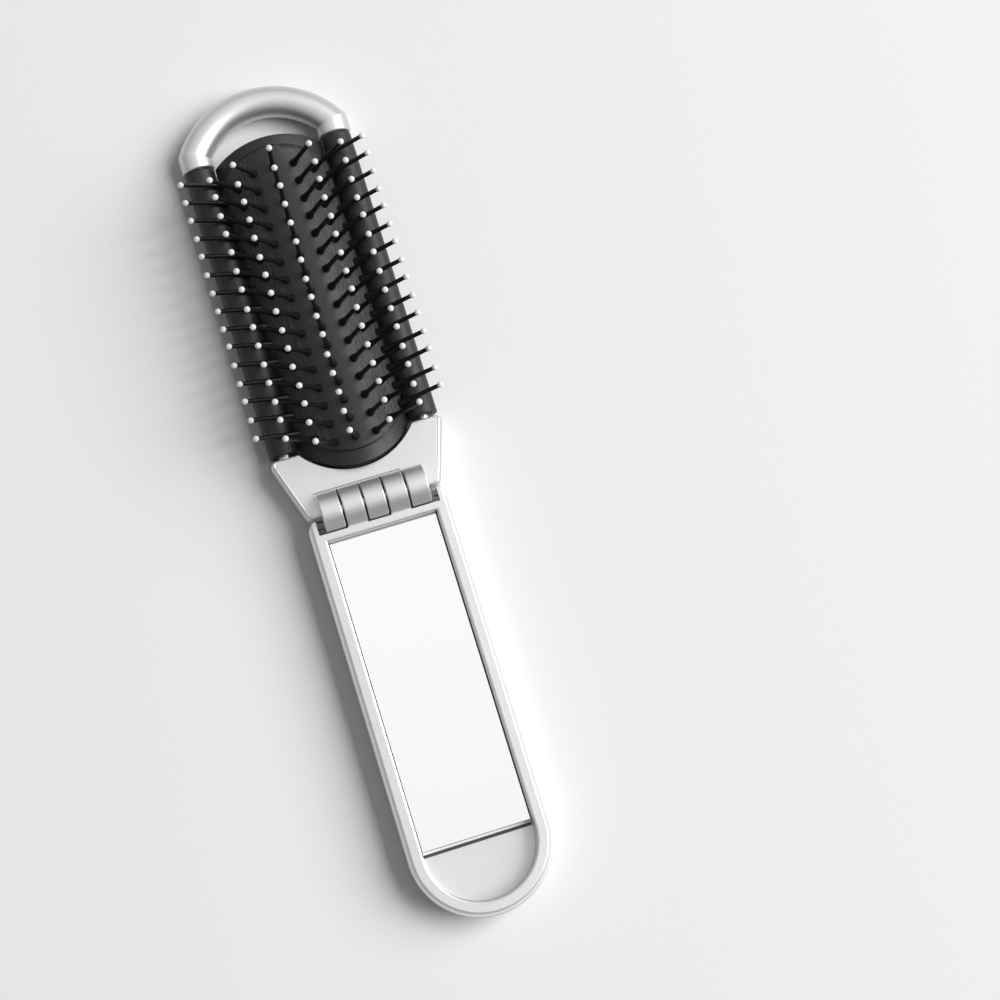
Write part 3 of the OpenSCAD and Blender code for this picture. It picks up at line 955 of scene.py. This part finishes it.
def floor():
    """Pale paper, just under the brush."""
    half, level = 3.0, -0.1 * MM
    ring = [(-half, -half), (half, -half), (half, half), (-half, half)]
    plane = new_object("floor", [(x, y, level) for x, y in ring], [(0, 1, 2, 3)])
    mat, tree, shader = material("floor_paper", (0.93, 0.93, 0.93), roughness=0.9,
                                 Specular_IOR_Level=0.0)
    tint(tree, shader, texture(tree, 900, 3), (0.925, 0.925, 0.927), (0.935, 0.935, 0.936))
    plane.data.materials.append(mat)


def world():
    """Soft white room: bright overhead and dim at the horizon, plain where the camera sees it."""
    overhead = Vector((0.08, 0.3, 0.95)).normalized()
    stops = ((0.0, 0.2), (0.35, 0.4), (0.75, 0.72), (0.98, 1.0))
    background_gray, diffuse_level = 0.87, 0.25
    sky = bpy.data.worlds.new("studio")
    bpy.context.scene.world = sky
    sky.use_nodes = True
    tree = sky.node_tree
    background = tree.nodes["Background"]
    place = tree.nodes.new("ShaderNodeTexCoord")
    facing = tree.nodes.new("ShaderNodeVectorMath")
    facing.operation = "DOT_PRODUCT"
    facing.inputs[1].default_value = overhead
    ramp = tree.nodes.new("ShaderNodeValToRGB")
    tree.links.new(place.outputs["Generated"], facing.inputs[0])
    tree.links.new(facing.outputs["Value"], ramp.inputs["Fac"])
    ends = ramp.color_ramp.elements
    for element, (at, value) in zip(ends, (stops[0], stops[-1])):
        element.position = at
        element.color = (value, value, value, 1)
    for at, value in stops[1:-1]:
        ends.new(at).color = (value, value, value, 1)
    path = tree.nodes.new("ShaderNodeLightPath")
    pale = tree.nodes.new("ShaderNodeMix")
    pale.data_type = "RGBA"
    pale.inputs["B"].default_value = (background_gray, background_gray, background_gray, 1)
    tree.links.new(path.outputs["Is Camera Ray"], pale.inputs["Factor"])
    tree.links.new(ramp.outputs["Color"], pale.inputs["A"])
    tree.links.new(pale.outputs["Result"], background.inputs["Color"])
    level = tree.nodes.new("ShaderNodeMapRange")
    level.inputs["To Min"].default_value = 1.0
    level.inputs["To Max"].default_value = diffuse_level
    tree.links.new(path.outputs["Is Diffuse Ray"], level.inputs["Value"])
    tree.links.new(level.outputs["Result"], background.inputs["Strength"])


def lamp(name, place, size, power):
    """Square soft box aimed at the origin."""
    data = bpy.data.lights.new(name, "AREA")
    data.shape = "SQUARE"
    data.size = size
    data.energy = power
    obj = bpy.data.objects.new(name, data)
    obj.location = place
    obj.rotation_euler = (-Vector(place)).to_track_quat("-Z", "Y").to_euler()
    bpy.context.scene.collection.objects.link(obj)


def camera():
    """The photograph's view: turn of the camera and where it sees the origin."""
    turn = [math.radians(a) for a in (-9.185, 3.844, 17.369)]
    origin_seen = Vector((-30.059, 1.577, -473.212)) * MM
    sensor, lens, nearest = 36, 73.44, 0.01
    view = Matrix.Translation(origin_seen)
    for angle, axis in zip(turn, "XYZ"):
        view = view @ Matrix.Rotation(angle, 4, axis)
    data = bpy.data.cameras.new("camera")
    data.sensor_width = sensor
    data.lens = lens
    data.clip_start = nearest
    obj = bpy.data.objects.new("camera", data)
    obj.matrix_world = view.inverted()
    bpy.context.scene.collection.objects.link(obj)
    bpy.context.scene.camera = obj


# ---- build ------------------------------------------------------------------------

camera()
shoulder()
bow()
for turn_side in (-1, 1):
    sleeve(turn_side)
pad()
all_pins()
shell()
tray()
mirror()
# Solids that are shown as they are, in a finish of their own
for node, finish in (("side_rod_left", STEEL), ("side_rod_right", STEEL), ("hinge_pin", STEEL),
                     ("mirror_tape", TAPE)):
    shown = frame["nodes"][node]
    shown.data.materials.clear()
    shown.data.materials.append(finish)
floor()
world()
lamp("key_lamp", (2.25, -0.1, 2.1), 2.6, 122)
bpy.context.scene.view_settings.view_transform = "Standard"
